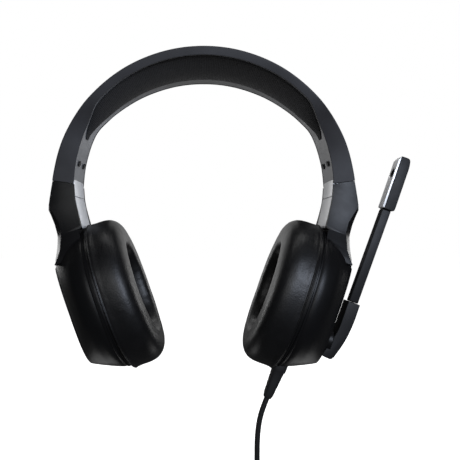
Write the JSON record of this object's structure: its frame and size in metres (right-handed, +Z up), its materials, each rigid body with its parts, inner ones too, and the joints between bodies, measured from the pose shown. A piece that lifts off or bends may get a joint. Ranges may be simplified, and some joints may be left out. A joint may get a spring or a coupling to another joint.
{
  "type": "gaming headset",
  "caption": "Closed-back gaming headset: wide padded band, sliding tilted ear cups with soft oval pads, a swinging boom microphone and a coiled lead with a jack plug.",
  "frame": {"origin": "middle of the head cushion's underside, where the crown of the wearer's head touches it", "axes": "+Z up, -Y the way the wearer faces, +X the wearer's left, the side with the microphone and the cord"},
  "size_m": [0.2371, 0.0852, 0.3611],
  "materials": {
    "band": "satin moulded, charcoal",
    "liner": "satin mid grey",
    "fabric": "woven, black",
    "leather": "soft grained, black",
    "silver": "satin silver",
    "shell": "satin moulded, black",
    "cover": "smooth, near black",
    "steel": "satin",
    "board": "green laminate",
    "copper": "satin",
    "rubber": "matt black",
    "boom": "satin moulded, dark grey",
    "gold": "polished"
  },
  "bodies": {
    "headband": {"band_shell": "band", "band_liner": "liner", "band_strip": "steel", "band_wire": "copper", "head_cushion": "fabric", "left_slider_guide": "shell", "left_liner_screw_front": "steel", "left_liner_screw_rear": "steel", "right_slider_guide": "shell", "right_liner_screw_front": "steel", "right_liner_screw_rear": "steel"},
    "left_cup": {"left_slider_blade": "steel", "left_slider_cap": "silver", "left_yoke_cover": "silver", "left_cup_shell": "shell", "left_accent_plate": "silver", "left_outer_cover": "cover", "left_cup_ring": "shell", "left_ear_cushion": "leather", "left_speaker_cloth": "fabric", "left_baffle": "shell", "left_driver_frame": "steel", "left_driver_magnet": "steel", "left_driver_diaphragm": "copper", "circuit_board": "board", "strain_relief": "rubber", "cord_run": "rubber", "cord_coil": "rubber", "cord_tail": "rubber", "cord_tie": "fabric", "jack_grip": "rubber", "jack_pin": "gold"},
    "right_cup": {"right_slider_blade": "steel", "right_slider_cap": "silver", "right_yoke_cover": "silver", "right_cup_shell": "shell", "right_accent_plate": "silver", "right_outer_cover": "cover", "right_cup_ring": "shell", "right_ear_cushion": "leather", "right_speaker_cloth": "fabric", "right_baffle": "shell", "right_driver_frame": "steel", "right_driver_magnet": "steel", "right_driver_diaphragm": "copper"},
    "mic_boom": {"mic_pivot": "shell", "mic_elbow": "boom", "mic_stick": "boom", "mic_capsule": "boom", "mic_plate": "silver", "mic_port": "rubber", "mic_element": "steel"}
  },
  "joints": [
    {"name": "left_slider", "type": "slide", "parent": "headband", "child": "left_cup", "axis": [0.1392, 0, -0.9903], "range_m": [0, 0.022]},
    {"name": "right_slider", "type": "slide", "parent": "headband", "child": "right_cup", "axis": [-0.1392, 0, -0.9903], "range_m": [0, 0.022]},
    {"name": "mic_pivot", "type": "hinge", "parent": "left_cup", "child": "mic_boom", "pos_m": [0.07986, -0.008, -0.17627], "axis": [0.9455, 0, -0.3256], "range_deg": [0, 125]}
  ]
}
